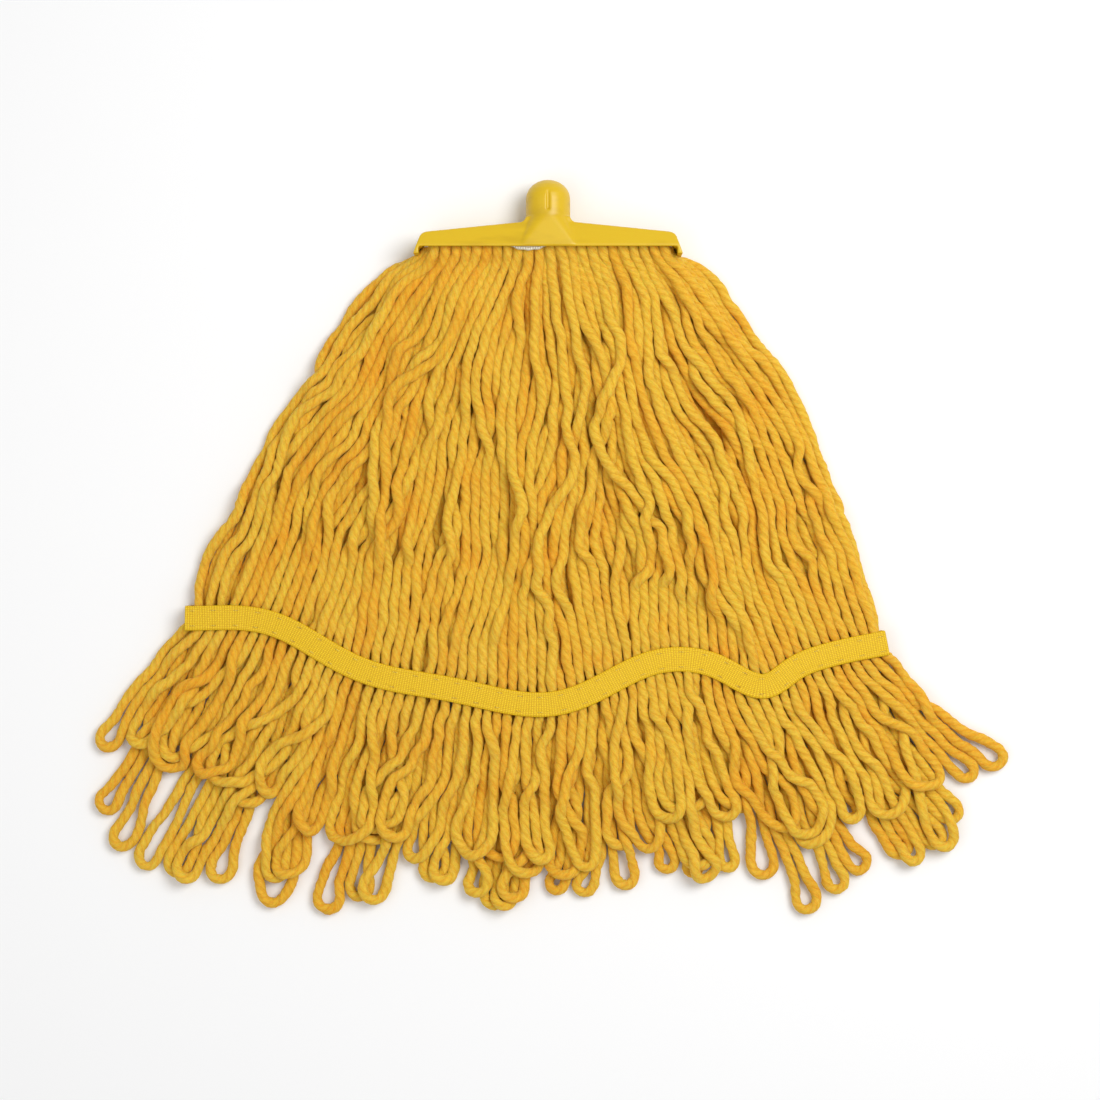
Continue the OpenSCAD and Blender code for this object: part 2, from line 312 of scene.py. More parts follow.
def layHalf(front):
    # Starting line of every loop in one half, before it settles
    count = loops["count"]
    strands = 2 * count
    t = -1 + 2 * (np.arange(strands) + 0.5) / strands
    band = bandDistance(t)
    tipAngle = fan["frontTipAngle"] if front else fan["backTipAngle"]
    samples = 130
    u = np.linspace(0, 1, samples)
    s = -loops["insideYoke"] + (band[:, None] + loops["insideYoke"]) * u[None, :]
    places, turns = fanPlaces(t, s, tipAngle)
    shared = waves(*waviness["shared"])
    bunches = waves(*waviness["bunches"])
    rows = [waves(*waviness["rows"]) for _ in range(loops["rows"])]
    atEdge = 1 - 0.6 * np.clip((np.abs(t) - 0.8) / 0.2, 0, 1)
    row = np.arange(strands) % loops["rows"]
    fadeFrom, fadeTo = (band[:, None] - distance for distance in waviness["fadeOver"])
    held = smoothstep(*waviness["growOver"], s) * (1 - smoothstep(fadeFrom, fadeTo, s))
    drift = np.zeros_like(s)
    lift = np.zeros_like(s)
    for k in range(strands):
        x = places[k, :, 0]
        own = waves(*waviness["own"])
        drift[k] = held[k] * atEdge[k] * (shared(x, s[k]) + bunches(x, s[k])
                                         + rows[row[k]](x, s[k]) + own(x, s[k]))
    strays = random.choice(np.nonzero(row == 2)[0], waviness["strays"], replace=False)
    for k in strays:
        middle, spread = random.uniform(80, 180), random.uniform(30, 52)
        bulge = np.exp(-((s[k] - middle) / spread) ** 2) * held[k]
        drift[k] += random.choice([-1, 1]) * random.uniform(8, 19) * bulge
        lift[k] = 9 * bulge
    z = heights(s, band, row, front) + lift
    normal = np.stack([np.cos(turns), np.sin(turns)], axis=-1)
    skirtLine = np.concatenate([places + drift[..., None] * normal, z[..., None]], axis=-1)
    lines = []
    clumps = waves(*waviness["clumps"])
    pastTape = 999.0  # a mark longer than any way from the lip to the tape
    for i in range(count):
        a, b = skirtLine[2 * i], skirtLine[2 * i + 1]
        middle = (t[2 * i] + t[2 * i + 1]) / 2
        tail = layTail(a, b, i, middle, clumps(0, middle), tipAngle, front)
        line = np.concatenate([a, tail, b[::-1]])
        mark = np.concatenate([s[2 * i], np.full(len(tail), pastTape), s[2 * i + 1][::-1]])
        lines.append(resample(line, mark, (band[2 * i] + band[2 * i + 1]) / 2))
    return lines


def heights(s, band, row, front):
    # The rows leave the yoke packed together, lie loose in the skirt and meet under the tape
    gap = 5.5
    packed = loops["firstRow"] + loops["rowGap"] * row
    lowest = floorZ + loops["lies"]
    if front:
        root, loose, flat = packed, lowest + (3 + row) * gap, frontBandZ
    else:
        root, loose, flat = -packed, lowest + (2 - row) * gap, backBandZ
    toLoose = smoothstep(5, 75, s)
    toFlat = smoothstep(band[:, None] - 80, band[:, None] - 8, s)
    z = root[:, None] + (loose - root)[:, None] * toLoose
    return z + (flat - z) * toFlat


def layTail(a, b, i, t, clump, tipAngle, front):
    # One loop past the tape: two legs that open into a rounded end, more or less twisted
    length = loops["frontTail"] if front else loops["backTail"]
    if not front:
        length += sum(slip * math.exp(-((t - middle) / wide) ** 2) for slip, middle, wide in loops["backSlips"])
    length *= random.uniform(0.9, 1.05)
    width = random.uniform(*loops["frontWidth" if front else "backWidth"])
    width = loops["diameter"] + (width - loops["diameter"]) * (1 - 0.6 * smoothstep(0.8, 0.95, abs(t)))
    turn = random.choice([0.0, 0.6, 2.7], p=[0.5, 0.3, 0.2]) * random.choice([-1, 1])
    turn += random.normal(0, 0.2)
    lean = clump + random.normal(0, 6 if front else 10)
    sway = random.uniform(-5, 5) if front else random.uniform(-9, 9)
    opensAt = random.uniform(0.0, 0.55) if front else random.uniform(0.6, 0.85)
    level = (i * 2) % 5 * 3.0 if front else (i % 3) * 5.4
    start = (a[-1] + b[-1]) / 2
    stretch = length - width / 2
    u = np.linspace(0, 1, 34)
    bandAt = bandDistance(np.array([t]))[0]
    s = bandAt + stretch * u
    middle, turns = fanPlaces(np.array([t]), s[None, :], tipAngle)
    middle, turns = middle[0], turns[0]
    middle += (start[:2] - middle[0])
    normal = np.stack([np.cos(turns), np.sin(turns)], axis=-1)
    middle += normal * (lean * u**2 + sway * np.sin(math.pi * u))[:, None]
    gap = loops["diameter"] + (width - loops["diameter"]) * smoothstep(opensAt, 0.95, u)
    angle = turn * smoothstep(0.1, 1, u)
    base = floorZ + loops["lies"] + level + (9.8 if front else 0)
    z = start[2] + (base - start[2]) * smoothstep(0.09, 0.45, u)
    rise = 3.2 * np.sin(angle)
    legs = []
    for side in (-1, 1):
        xy = middle + side * normal * (gap / 2 * np.cos(angle))[:, None]
        legs.append(np.concatenate([xy, (z + side * rise)[:, None]], axis=1))
    ahead = np.array([math.sin(turns[-1]), -math.cos(turns[-1])])
    bend = []
    for psi in np.linspace(0, math.pi, 14)[1:-1]:
        side = -math.cos(psi)
        xy = (middle[-1] + side * normal[-1] * gap[-1] / 2 * math.cos(angle[-1])
              + ahead * gap[-1] / 2 * math.sin(psi))
        bend.append([*xy, z[-1] + side * rise[-1]])
    return np.concatenate([legs[0][1:], bend, legs[1][::-1][:-1]])


def resample(line, mark, band):
    # Evenly spaced particles, with each one's distance from the lip and from the tape
    steps = np.linalg.norm(np.diff(line, axis=0), axis=1)
    along = np.concatenate([[0], np.cumsum(steps)])
    even = np.linspace(0, along[-1], loops["particles"])
    points = np.stack([np.interp(even, along, line[:, j]) for j in range(3)], axis=1)
    marks = np.interp(even, along, mark)
    past = even[marks > band]
    fromTape = np.minimum(np.abs(even - past[0]), np.abs(even - past[-1]))
    return points, marks, fromTape


def cellPairs(points, cell):
    # Every pair of particles in the same or neighbouring cells
    key = np.floor(points / cell).astype(np.int64)
    key -= key.min(axis=0) - 1
    size = key.max(axis=0) + 2
    code = (key[:, 0] * size[1] + key[:, 1]) * size[2] + key[:, 2]
    order = np.argsort(code, kind="stable")
    ordered = code[order]
    first, second = [], []
    for dx in (-1, 0, 1):
        for dy in (-1, 0, 1):
            for dz in (-1, 0, 1):
                other = code + (dx * size[1] + dy) * size[2] + dz
                low = np.searchsorted(ordered, other, "left")
                high = np.searchsorted(ordered, other, "right")
                number = high - low
                a = np.repeat(np.arange(len(points)), number)
                offset = np.arange(len(a)) - np.repeat(np.cumsum(number) - number, number)
                b = order[np.repeat(low, number) + offset]
                keep = a < b
                first.append(a[keep])
                second.append(b[keep])
    return np.concatenate(first), np.concatenate(second)


def settle(points, marks, fixed, steps):
    # The yarn sinks onto the floor and onto itself. Each particle keeps its distance from the next,
    # bends no tighter than the yarn can, and stays a diameter clear of other strands
    count, length, _ = points.shape
    rest = np.linalg.norm(np.diff(points, axis=1), axis=2).mean(axis=1)[:, None]
    home = points.copy()
    free = (~fixed).astype(float)
    reach = loops["diameter"] * (0.57 + 0.43 * smoothstep(0, 38, marks))
    flatReach = reach.reshape(-1)
    flatFree = free.reshape(-1)
    lowest = floorZ + loops["lies"]
    tiny = 1e-6  # stands in for a distance of nought, which can't be divided by
    loopOf, placeOf = np.divmod(np.arange(count * length), length)

    def spring(points, gap, least, stiffness):
        for start in range(2 * gap):
            a, b = points[:, start : -gap : 2 * gap], points[:, start + gap :: 2 * gap]
            wa, wb = free[:, start : -gap : 2 * gap], free[:, start + gap :: 2 * gap]
            size = min(a.shape[1], b.shape[1])
            a, b, wa, wb = a[:, :size], b[:, :size], wa[:, :size], wb[:, :size]
            apart = b - a
            distance = np.linalg.norm(apart, axis=2)
            want = rest * gap * least
            error = distance - want if gap == 1 else np.minimum(distance - want, 0)
            push = stiffness * error / np.maximum(distance, tiny) / np.maximum(wa + wb, tiny)
            push = push[..., None] * apart
            a += push * wa[..., None]
            b -= push * wb[..., None]

    for step in range(steps):
        calm = step > steps - 40
        if step % 6 == 0:
            flat = points.reshape(-1, 3)
            a, b = cellPairs(flat, loops["diameter"] + 1.2)
            near = ((flat[a] - flat[b]) ** 2).sum(axis=1) < (loops["diameter"] + 1.2) ** 2
            own = (loopOf[a] == loopOf[b]) & (np.abs(placeOf[a] - placeOf[b]) < 4)
            loose = (flatFree[a] + flatFree[b]) > 0
            a, b = a[near & ~own & loose], b[near & ~own & loose]
            apartWanted = (flatReach[a] + flatReach[b]) / 2
            share = flatFree[a] + flatFree[b]
        if not calm:
            points[..., 2] -= 0.2 * free
            points[..., :2] += (home[..., :2] - points[..., :2]) * 0.02 * free[..., None]
        for _ in range(2):
            spring(points, 1, 1.0, 1.0)
            spring(points, 2, 0.96, 0.8)
            flat = points.reshape(-1, 3)
            apart = flat[b] - flat[a]
            distance = np.sqrt((apart**2).sum(axis=1))
            overlap = np.maximum(apartWanted - distance, 0)
            hit = overlap > 0
            ha, hb = a[hit], b[hit]
            push = (overlap[hit] / np.maximum(distance[hit], tiny) / share[hit])[:, None] * apart[hit]
            touching = np.bincount(ha, minlength=len(flat)) + np.bincount(hb, minlength=len(flat))
            soften = 1 / np.maximum(touching * 0.55, 1)
            for axis in range(3):
                moved = (np.bincount(hb, push[:, axis] * flatFree[hb], len(flat))
                         - np.bincount(ha, push[:, axis] * flatFree[ha], len(flat)))
                flat[:, axis] += moved * soften
            np.maximum(flat[:, 2], lowest, out=flat[:, 2])
    return points


def layYarn():
    lines = layHalf(False) + layHalf(True)
    points = np.array([line[0] for line in lines])
    marks = np.array([line[1] for line in lines])
    fromTape = np.array([line[2] for line in lines])
    fixed = (fromTape < 7.5) | (marks < 5)
    points = settle(points, marks, fixed, loops["settleSteps"])
    points[:, 1:-1] = 0.25 * points[:, :-2] + 0.5 * points[:, 1:-1] + 0.25 * points[:, 2:]
    return points, fromTape


yarnPoints, yarnFromTape = layYarn()
print("yarn laid and settled")


plies = {
    "count": 4,
    "sides": 16,        # vertices round the yarn
    "pitch": 23,        # one full turn of the twist
    "ringGap": 1.6,     # between rings of vertices, near enough
    "radius": 3.0,
    "valley": 0.935,    # depth between plies, as a share of the radius
    "shoulder": 0.97,
    "pressed": 0.84,    # under the tapes, as a share of its loose thickness
    "lumps": 0.08,      # uneven spinning
    "kink": 0.17,       # how far the strand's middle wanders, over these lengths
    "kinkLength": (14, 34),
}


def smoothLines(points, rings):
    # Catmull-Rom through the particles, then evenly spaced ring centres
    before = 2 * points[:, :1] - points[:, 1:2]
    after = 2 * points[:, -1:] - points[:, -2:-1]
    padded = np.concatenate([before, points, after], axis=1)
    p0, p1, p2, p3 = padded[:, :-3], padded[:, 1:-2], padded[:, 2:-1], padded[:, 3:]
    fine = []
    for u in np.arange(0, 1, 0.2):
        fine.append(0.5 * (2 * p1 + (p2 - p0) * u + (2 * p0 - 5 * p1 + 4 * p2 - p3) * u**2
                           + (3 * p1 - p0 - 3 * p2 + p3) * u**3))
    dense = np.stack(fine, axis=2).reshape(len(points), -1, 3)
    dense = np.concatenate([dense, points[:, -1:]], axis=1)
    result = np.empty((len(points), rings, 3))
    lengths = np.empty(len(points))
    for i, line in enumerate(dense):
        along = np.concatenate([[0], np.cumsum(np.linalg.norm(np.diff(line, axis=0), axis=1))])
        even = np.linspace(0, along[-1], rings)
        for axis in range(3):
            result[i, :, axis] = np.interp(even, along, line[:, axis])
        lengths[i] = along[-1]
    return result, lengths


def twistRings(centres, lengths, fromTape):
    # Rings of vertices whose columns follow the twist, so that the valleys between plies stay sharp
    tangent = np.gradient(centres, axis=1)
    tangent /= np.linalg.norm(tangent, axis=2, keepdims=True)
    side = np.cross(tangent[:, 0], [0.0, 0.0, 1.0])
    side /= np.linalg.norm(side, axis=1, keepdims=True)
    sides = np.empty_like(centres)
    sides[:, 0] = side
    for i in range(1, centres.shape[1]):
        side = side - (side * tangent[:, i]).sum(axis=1, keepdims=True) * tangent[:, i]
        side /= np.linalg.norm(side, axis=1, keepdims=True)
        sides[:, i] = side
    ups = np.cross(tangent, sides)
    count, rings, _ = centres.shape
    along = lengths[:, None] * np.linspace(0, 1, rings)[None, :]
    start = random.uniform(0, 2 * math.pi, count)[:, None]
    uneven = sum(0.25 * np.sin(2 * math.pi * along / random.uniform(40, 130, (count, 1))
                               + random.uniform(0, 6.28, (count, 1))) for _ in range(3))
    twist = start - 2 * math.pi * along / plies["pitch"] + uneven
    # The tapes press the yarn thinner and hold it straight where they are sewn over it
    loose = smoothstep(7, 15, fromTape)
    for way in (sides, ups):
        kinks = sum(np.sin(2 * math.pi * along / random.uniform(*plies["kinkLength"], (count, 1))
                           + random.uniform(0, 6.28, (count, 1))) for _ in range(3))
        centres = centres + way * (plies["kink"] * kinks * loose)[..., None]
    column = np.arange(plies["sides"])
    perPly = plies["sides"] // plies["count"]
    profile = np.choose(column % perPly, [plies["valley"], plies["shoulder"], 1.0, plies["shoulder"]])
    angle = twist[..., None] + 2 * math.pi * column / plies["sides"]
    thick = 1 + 0.05 * np.sin(2 * math.pi * along / random.uniform(18, 60, (count, 1)) + start * 3)
    lumps = random.normal(0, plies["lumps"], (count, rings, plies["sides"]))
    lumps[:, 1:-1] = (lumps[:, :-2] + lumps[:, 1:-1] + lumps[:, 2:]) / 2
    lumps = (np.roll(lumps, 1, axis=2) + 2 * lumps + np.roll(lumps, -1, axis=2)) / 3
    radius = plies["radius"] * (thick[..., None] + lumps) * profile
    radius = radius * random.uniform(0.95, 1.04, (count, 1, 1))
    radius = radius * (plies["pressed"] + (1 - plies["pressed"]) * loose)[..., None]
    ring = (sides[:, :, None] * np.cos(angle)[..., None] + ups[:, :, None] * np.sin(angle)[..., None])
    return centres[:, :, None] + ring * radius[..., None], along


def tubeFaces(rings, sides):
    faces = []
    for i in range(rings - 1):
        for j in range(sides):
            k = (j + 1) % sides
            faces.append((i * sides + j, i * sides + k, (i + 1) * sides + k, (i + 1) * sides + j))
    faces.append(tuple(range(sides))[::-1])
    faces.append(tuple((rings - 1) * sides + j for j in range(sides)))
    return faces


def meshObject(name, vertices, faces, material):
    mesh = bpy.data.meshes.new(name)
    mesh.from_pydata(vertices, [], faces)
    mesh.materials.append(material)
    mesh.shade_smooth()
    piece = bpy.data.objects.new(name, mesh)
    bpy.context.scene.collection.objects.link(piece)
    return piece


def buildYarn():
    half = loops["count"]
    rings = int(yarnPoints.shape[1] * 4 / plies["ringGap"])
    centres, lengths = smoothLines(yarnPoints, rings)
    metres = round(lengths.sum() * millimetre, 2)
    print("loops of yarn:", len(lengths), "total length in metres:", metres)
    places = np.linspace(0, 1, yarnFromTape.shape[1])
    fromTape = np.array([np.interp(np.linspace(0, 1, rings), places, one) for one in yarnFromTape])
    vertices, along = twistRings(centres, lengths, fromTape)
    sides = plies["sides"]
    faces = tubeFaces(rings, sides)
    ringOf = np.repeat(np.arange(rings - 1), sides)
    columnOf = np.tile(np.arange(sides), rings - 1)
    perPly = sides / plies["count"]
    uAll = np.stack([columnOf, columnOf + 1, columnOf + 1, columnOf], axis=1) / perPly
    vRing = np.stack([ringOf, ringOf, ringOf + 1, ringOf + 1], axis=1)
    for index in range(2 * half):
        front = index >= half
        i = index % half
        name = f"{'front' if front else 'back'}_loop_{i + 1:02d}"
        piece = meshObject(name, (vertices[index].reshape(-1, 3) * millimetre).tolist(), faces, yarnMaterial)
        uv = np.zeros((len(faces) * 4 - 8 + 2 * sides, 2), np.float32)
        uv[: uAll.size, 0] = uAll.reshape(-1)
        uv[: uAll.size, 1] = along[index][vRing].reshape(-1)
        mapped = piece.data.uv_layers.new(name="alongYarn")
        mapped.uv.foreach_set("vector", uv.reshape(-1))
        tint = piece.data.attributes.new("tint", "FLOAT", "POINT")
        tint.data.foreach_set("value", np.full(len(piece.data.vertices), random.uniform(0, 1), np.float32))
        bundle = min(loops["bundles"], int((i + 0.5) / half * loops["bundles"]) + 1)
        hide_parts(f"{'front' if front else 'back'}_yarn_{bundle}", "clamped_yarn")
        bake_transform(piece)


buildYarn()
print("yarn built")


tape = {
    "width": 14,
    "thickness": 0.8,
    "rib": 1.4,         # pitch of the weft ribs across it
    "ribDepth": 0.16,
    "press": 0.22,      # how far it dips between strands
    "stitchRows": 4.2,  # from its middle
    "stitchLength": 3.4,
    "stitches": 35,
}


def wovenTape(name, threadColour, paintedGapShade, glint):
    # Woven polyester tape: smooth filaments, with a painted glint on each weft rib and painted shade in the
    # gaps between threads
    material, tree, shader = newMaterial(name)
    shader.inputs["Roughness"].default_value = 0.5
    shader.inputs["Specular IOR Level"].default_value = 0.3
    uv = addNode(tree, "ShaderNodeUVMap", uv_map="alongTape").outputs["UV"]
    # U runs along the tape and V across it, both in millimetres. Its warp threads are 0.5 mm apart and
    # are drawn twice as coarse so that they show
    warp = addNode(tree, "ShaderNodeTexWave", {"Vector": uv}, wave_type="BANDS", bands_direction="Y",
                   Scale=math.pi / 10, Distortion=0.6, Detail=1.0).outputs["Fac"]
    ribs = addNode(tree, "ShaderNodeTexWave", {"Vector": uv}, wave_type="BANDS", bands_direction="X",
                   Scale=math.pi / 10 / tape["rib"], Distortion=0.4, Detail=1.0).outputs["Fac"]
    weave = addNode(tree, "ShaderNodeMath", {0: warp, 1: ribs}, operation="MULTIPLY").outputs[0]
    # Painted shade in the gaps between threads, and a painted glint where the weave stands highest
    base = addNode(tree, "ShaderNodeValToRGB", {"Fac": weave},
                   stops=[(0.0, paintedGapShade), (0.35, threadColour), (1.0, glint)])
    # Painted glints of single filaments here and there, with the tape between them darkened
    paintedGlintSpecks = addNode(tree, "ShaderNodeTexNoise", {"Vector": uv}, Scale=1.6, Detail=2.0).outputs["Fac"]
    lit = addNode(tree, "ShaderNodeValToRGB", {"Fac": paintedGlintSpecks}, stops=[(0.35, "#D8D0BC"), (0.55, "#FFFFFF")])
    colour = addNode(tree, "ShaderNodeMix", {"A": base.outputs["Color"], "B": lit.outputs["Color"]},
                     data_type="RGBA", blend_type="MULTIPLY", Factor=0.7)
    tree.links.new(colour.outputs["Result"], shader.inputs["Base Color"])
    bump = addNode(tree, "ShaderNodeBump", {"Height": weave}, Strength=0.6, Distance=0.0002)
    tree.links.new(bump.outputs["Normal"], shader.inputs["Normal"])
    return material


# Its last two colours are the painted shade between the threads and the painted glint
tailTape = wovenTape("woven yellow polyester tape", "#EABF0C", "#DBAA0E", "#F9E22C")


def tapeLine(alongStep, tipAngle):
    # Middle line of a tape across the fan, evenly spaced, with the way across it
    t = np.linspace(-1.012, 1.012, 700)
    places, _ = fanPlaces(t, bandDistance(t)[:, None], tipAngle)
    places = places[:, 0]
    along = np.concatenate([[0], np.cumsum(np.linalg.norm(np.diff(places, axis=0), axis=1))])
    even = np.linspace(0, along[-1], int(along[-1] / alongStep) + 1)
    line = np.stack([np.interp(even, along, places[:, j]) for j in range(2)], axis=1)
    ahead = np.gradient(line, axis=0)
    ahead /= np.linalg.norm(ahead, axis=1, keepdims=True)
    across = np.stack([-ahead[:, 1], ahead[:, 0]], axis=1)
    return line, across, even, np.interp(even, along, t)


def sheetMesh(name, upper, lower, along, across, material, mapName):
    # A closed strip of cloth from its upper and lower faces, each a grid of points
    rows, columns, _ = upper.shape
    size = rows * columns
    vertices = np.concatenate([upper.reshape(-1, 3), lower.reshape(-1, 3)]) * millimetre
    index = np.arange(size).reshape(rows, columns)
    a, b, c, d = index[:-1, :-1], index[1:, :-1], index[1:, 1:], index[:-1, 1:]
    top = np.stack([a, b, c, d], axis=-1).reshape(-1, 4)
    rim = np.concatenate([index[:, 0], index[-1, 1:], index[-2::-1, -1], index[0, -2:0:-1]])
    following = np.roll(rim, -1)
    side = np.stack([rim, rim + size, following + size, following], axis=-1)
    faces = np.concatenate([top, top[:, ::-1] + size, side])
    piece = meshObject(name, vertices.tolist(), faces.tolist(), material)
    uv = np.stack([np.tile(np.repeat(along, columns), 2), np.tile(np.tile(across, rows), 2)], axis=1)
    mapped = piece.data.uv_layers.new(name=mapName)
    mapped.uv.foreach_set("vector", uv[faces.reshape(-1)].astype(np.float32).reshape(-1))
    bpy.ops.object.select_all(action="DESELECT")
    piece.select_set(True)
    bpy.context.view_layer.objects.active = piece
    bpy.ops.object.mode_set(mode="EDIT")
    bpy.ops.mesh.select_all(action="SELECT")
    bpy.ops.mesh.normals_make_consistent(inside=False)
    bpy.ops.object.mode_set(mode="OBJECT")
    return piece


def buildTape(node, front, outer):
    tipAngle = fan["frontTipAngle" if front else "backTipAngle"]
    line, way, along, t = tapeLine(0.35 if front and outer else 0.7, tipAngle)
    across = np.linspace(-0.5, 0.5, 19) * tape["width"]
    z = (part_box(node)[0].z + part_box(node)[1].z) / 2 / millimetre
    facing = 1 if (front == outer) else -1  # the way that faces off the yarn
    strand = np.cos(math.pi * (t + 1) * loops["count"]) ** 2
    ribs = np.abs(np.sin(math.pi * along / tape["rib"]))
    rows = np.exp(-((np.abs(across) - tape["stitchRows"]) / 0.8) ** 2)
    selvedge = np.clip((np.abs(across) / tape["width"] * 2 - 0.9) / 0.1, 0, 1) ** 2
    place = line[:, None, :] + way[:, None, :] * across[None, :, None]
    sink = tape["press"] * (0.5 * strand[:, None] + 0.7 * rows[None, :]) + 0.5 * selvedge[None, :]
    relief = tape["ribDepth"] * (ribs[:, None] - 0.5) * (1 - selvedge[None, :])
    half = tape["thickness"] / 2 * (1 - 0.5 * selvedge[None, :])
    shift = -facing * sink * (1 if outer else 0.3)
    upper = np.concatenate([place, (z + shift + half + relief)[..., None]], axis=-1)
    lower = np.concatenate([place, (z + shift - half - relief)[..., None]], axis=-1)
    piece = sheetMesh(node + "_woven", upper, lower, along, across, tailTape, "alongTape")
    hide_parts(node)
    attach(piece, "yarn")
    return z + facing * tape["thickness"] / 2


def sewingThread(name, hexCode):
    # Bonded polyester sewing thread, two plies twisted 0.8 mm a turn: slightly glossy, with painted shade in
    # the groove between the plies
    material, tree, shader = newMaterial(name)
    shader.inputs["Roughness"].default_value = 0.45
    place = addNode(tree, "ShaderNodeTexCoord").outputs["Object"]
    twist = addNode(tree, "ShaderNodeTexWave", {"Vector": place}, wave_type="BANDS",
                    bands_direction="DIAGONAL", Scale=math.pi / 10 / 0.0008, Distortion=0.5).outputs["Fac"]
    # Painted shade: darker where the twist sinks between the plies
    colour = addNode(tree, "ShaderNodeValToRGB", {"Fac": twist}, stops=[(0.0, "#A87B16"), (0.5, hexCode)])
    tree.links.new(colour.outputs["Color"], shader.inputs["Base Color"])
    bump = addNode(tree, "ShaderNodeBump", {"Height": twist}, Strength=0.5, Distance=0.0001)
    tree.links.new(bump.outputs["Normal"], shader.inputs["Normal"])
    return material


threadMaterial = sewingThread("polyester sewing thread", "#E9CB48")


def stitchMesh(name, places, turns, length, radius, up, material):
    # Each stitch is a short arch of thread whose ends dive into the cloth
    sections, sides = 7, 6
    vertices, faces = [], []
    oneStitch = tubeFaces(sections, sides)
    for place, turn in zip(places, turns):
        first = len(vertices)
        for u in np.linspace(-1, 1, sections):
            rise = radius * (1.3 - 2.6 * u**4) * up
            for v in range(sides):
                angle = 2 * math.pi * v / sides * up
                off = radius * math.cos(angle)
                x = place[0] + u * length / 2 * math.cos(turn) - off * math.sin(turn)
                y = place[1] + u * length / 2 * math.sin(turn) + off * math.cos(turn)
                vertices.append([x * millimetre, y * millimetre,
                                 (place[2] + rise + radius * math.sin(angle) * up) * millimetre])
        faces += [tuple(first + j for j in face) for face in oneStitch]
    piece = meshObject(name, vertices, faces, material)
    return piece


def buildTapeStitching(node, front, z):
    tipAngle = fan["frontTipAngle" if front else "backTipAngle"]
    line, way, along, _ = tapeLine(0.7, tipAngle)
    places, turns = [], []
    for row in (-1, 1):
        for middle in np.linspace(4, along[-1] - 4, tape["stitches"]):
            i = int(np.searchsorted(along, middle))
            places.append([*(line[i] + way[i] * row * tape["stitchRows"]), z])
            turns.append(math.atan2(-way[i][0], way[i][1]))
    piece = stitchMesh(node + "_thread", places, turns, tape["stitchLength"], 0.28, 1 if front else -1,
                       threadMaterial)
    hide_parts(node)
    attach(piece, "yarn")


frontFace = buildTape("front_tape_outer", True, True)
buildTape("front_tape_inner", True, False)
buildTape("back_tape_inner", False, False)
backFace = buildTape("back_tape_outer", False, True)
buildTapeStitching("front_stitching", True, frontFace - 0.15)
buildTapeStitching("back_stitching", False, backFace + 0.15)
print("tail tapes sewn")


headband = {
    "thickness": 0.8,
    "lowSpot": (-11, 8.5, 2.6),  # where its edge hangs below the lip: middle, half width, how far
    "edge": 0.7,                 # elsewhere the edge stays this far up inside the lip
    "foldDrop": 5.1,
    "stitches": 30,
}

# Its last two colours are the painted shade between the threads and the painted glint
whiteTape = wovenTape("woven white polyester tape", "#F1EBD9", "#CFC4A6", "#FFFDF4")


def foldLine(x, edge):
    # The headband's section, from its front edge over the fold of the yarn to its back edge
    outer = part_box("headband")[1].z / millimetre
    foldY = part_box("headband")[1].y / millimetre - headband["foldDrop"] * abs(x) / (hankHalf - 3)
    half = outer - headband["thickness"] / 2
    shoulder = foldY - 3
    points = [(edge, half), (lipY + 4, half - 1.2), (max(shoulder - 1, lipY + 5), half - 3.2)]
    for a in np.linspace(0, math.pi, 9):
        points.append((foldY - 0.4 - 4.6 * (1 - math.sin(a)), (half - 5.0) * math.cos(a)))
    points += [(max(shoulder - 1, lipY + 5), -(half - 3.2)), (lipY + 4, -(half - 1.2)),
               (lipY + headband["edge"], -half)]
    return np.array(points)


def buildHeadband():
    middle, wide, low = headband["lowSpot"]
    xs = np.linspace(-hankHalf, hankHalf, 200)
    rows = []
    for x in xs:
        hang = math.exp(-(abs((x - middle) / wide)) ** 4) * (low + 0.25 * math.sin(x))
        rows.append(foldLine(x, lipY + headband["edge"] - hang))
    rows = np.array(rows)
    along = np.gradient(rows, axis=1)
    normal = np.stack([along[..., 1], -along[..., 0]], axis=-1)
    normal /= np.linalg.norm(normal, axis=-1, keepdims=True)
    half = headband["thickness"] / 2

    def face(side):
        moved = rows + side * half * normal
        return np.concatenate([np.broadcast_to(xs[:, None, None], (*moved.shape[:2], 1)), moved], axis=-1)

    lengths = np.concatenate([[0], np.cumsum(np.linalg.norm(np.diff(rows[0], axis=0), axis=1))])
    piece = sheetMesh("headband_woven", face(1), face(-1), xs, lengths, whiteTape, "alongTape")
    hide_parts("headband")
    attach(piece, "fitting")
    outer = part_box("headband")[1].z / millimetre
    count = headband["stitches"]
    places = [[x, lipY + 2.2, side * (outer - 0.5)] for side in (-1, 1)
              for x in np.linspace(-hankHalf + 4, hankHalf - 4, count)]
    for side, name in ((1, "front"), (-1, "back")):
        sewn = stitchMesh(f"headband_{name}_thread", [p for p in places if p[2] * side > 0], [0.0] * count,
                          3.0, 0.25, side, threadMaterial)
        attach(sewn, "fitting")
        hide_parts("headband_stitching")


buildHeadband()
print("headband folded and sewn")


moulding = {
    "voxel": 0.00055,   # fine enough to keep the key groove and the cover's joint
    "softening": 5,     # passes that round the edges to about 0.8 mm, as a mould's are
    "colour": "#D7B10A",
    # The next colour is a painted highlight on the convex edges
    "paintedEdgeHighlight": "#DFBC28",
    "shaded": "#CAA406",
}


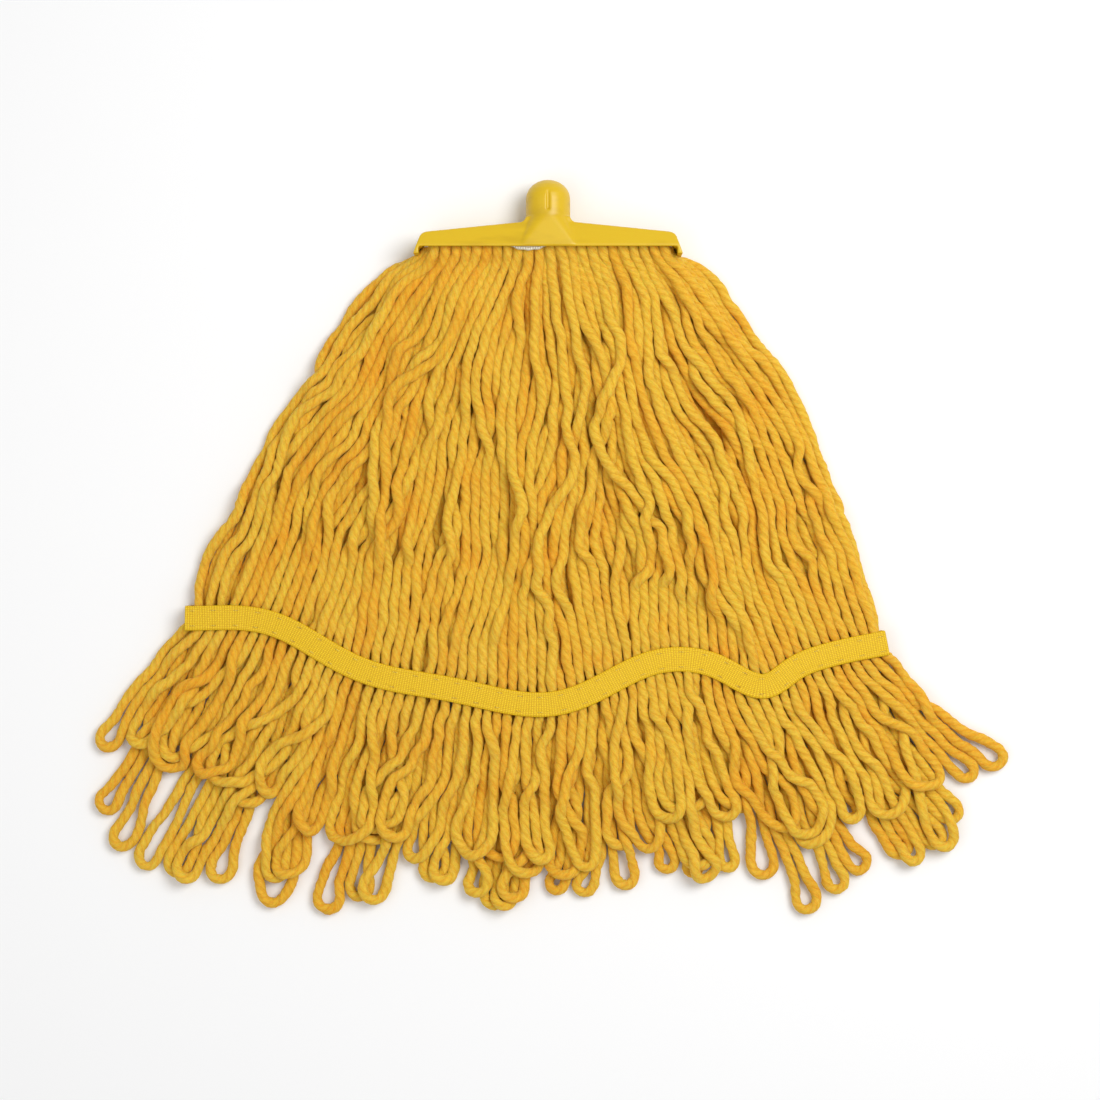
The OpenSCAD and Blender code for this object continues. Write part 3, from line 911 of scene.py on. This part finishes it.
def mouldedPlastic():
    # Injection-moulded polypropylene: satin, with faint flow marks and a painted highlight that makes the
    # convex edges paler
    material, tree, shader = newMaterial("injection-moulded yellow polypropylene")
    shader.inputs["IOR"].default_value = 1.49
    shader.inputs["Subsurface Weight"].default_value = 0.08
    shader.inputs["Subsurface Radius"].default_value = (1.0, 0.6, 0.1)
    shader.inputs["Subsurface Scale"].default_value = 0.0015
    place = addNode(tree, "ShaderNodeTexCoord").outputs["Object"]
    flowSpace = addNode(tree, "ShaderNodeMapping", {"Vector": place}, Scale=(20, 90, 60))
    flow = addNode(tree, "ShaderNodeTexNoise", {"Vector": flowSpace.outputs[0]},
                   Scale=1.0, Detail=4.0).outputs["Fac"]
    base = addNode(tree, "ShaderNodeValToRGB", {"Fac": flow}, stops=[
        (0.35, moulding["shaded"]), (0.5, moulding["colour"]), (0.75, moulding["colour"])])
    # Painted highlight: convex edges are mixed towards a paler colour
    edges = addNode(tree, "ShaderNodeNewGeometry").outputs["Pointiness"]
    edgeHighlightMask = addNode(tree, "ShaderNodeMapRange", {"Value": edges},
                     **{"From Min": 0.52, "From Max": 0.6, "To Max": 0.5})
    mix = addNode(tree, "ShaderNodeMix", {"Factor": edgeHighlightMask.outputs["Result"], "A": base.outputs["Color"]},
                  data_type="RGBA", B=linear(moulding["paintedEdgeHighlight"]))
    tree.links.new(mix.outputs["Result"], shader.inputs["Base Color"])
    satin = addNode(tree, "ShaderNodeMapRange", {"Value": flow}, **{"To Min": 0.32, "To Max": 0.46})
    tree.links.new(satin.outputs["Result"], shader.inputs["Roughness"])
    # Spark-eroded mould texture with a grain of 0.4 mm
    grain = addNode(tree, "ShaderNodeTexNoise", {"Vector": place}, Scale=2500.0, Detail=1.0).outputs["Fac"]
    bump = addNode(tree, "ShaderNodeBump", {"Height": grain}, Strength=0.25, Distance=0.0001)
    tree.links.new(bump.outputs["Normal"], shader.inputs["Normal"])
    return material


plasticMaterial = mouldedPlastic()


def buildMoulding(node):
    bpy.ops.object.select_all(action="DESELECT")
    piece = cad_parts[node].copy()
    piece.data = piece.data.copy()
    piece.parent = None
    piece.name = node + "_moulded"
    for key in [k for k in piece.keys() if k.startswith("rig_")]:
        del piece[key]
    bpy.context.scene.collection.objects.link(piece)
    piece.select_set(True)
    bpy.context.view_layer.objects.active = piece
    bpy.ops.object.mode_set(mode="EDIT")
    bpy.ops.mesh.select_all(action="SELECT")
    bpy.ops.mesh.remove_doubles(threshold=0.00001)
    bpy.ops.object.mode_set(mode="OBJECT")
    remesh = piece.modifiers.new("skin", "REMESH")
    remesh.mode = "VOXEL"
    remesh.voxel_size = moulding["voxel"]
    bpy.ops.object.modifier_apply(modifier=remesh.name)
    soften = piece.modifiers.new("round edges", "SMOOTH")
    soften.factor = 0.5
    soften.iterations = moulding["softening"]
    bpy.ops.object.modifier_apply(modifier=soften.name)
    bpy.ops.object.shade_smooth()
    piece.data.materials.clear()
    piece.data.materials.append(plasticMaterial)
    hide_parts(node)
    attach(piece, "fitting")


buildMoulding("yoke")
buildMoulding("rear_cover")
print("fitting moulded")


studio = {
    # Each light's place, what it points at, its width in metres and its power in watts
    "soft box": ((0.6, 0.2, 1.2), (0, -0.2, 0), 0.8, 13),
    "fill": ((-0.7, -0.5, 1.2), (0, -0.2, 0), 1.4, 4),
}

for lightName, settings in studio.items():
    addLight(lightName, *settings)
world = bpy.data.worlds.new("studio")
world.use_nodes = True
world.node_tree.nodes["Background"].inputs["Color"].default_value = (1, 1, 1, 1)
world.node_tree.nodes["Background"].inputs["Strength"].default_value = 0.5
bpy.context.scene.world = world
bpy.context.scene.view_settings.view_transform = "Standard"

bpy.ops.object.select_all(action="DESELECT")
bpy.ops.mesh.primitive_plane_add(size=6, location=(0, 0, floorZ * millimetre - 0.0002))
floor = bpy.context.object
floor.name = "floor"
floorMaterial, _, floorShader = newMaterial("white sweep")
floorShader.inputs["Base Color"].default_value = linear("#F4F4F4")
floorShader.inputs["Roughness"].default_value = 0.9
floor.data.materials.append(floorMaterial)
print("studio lit")
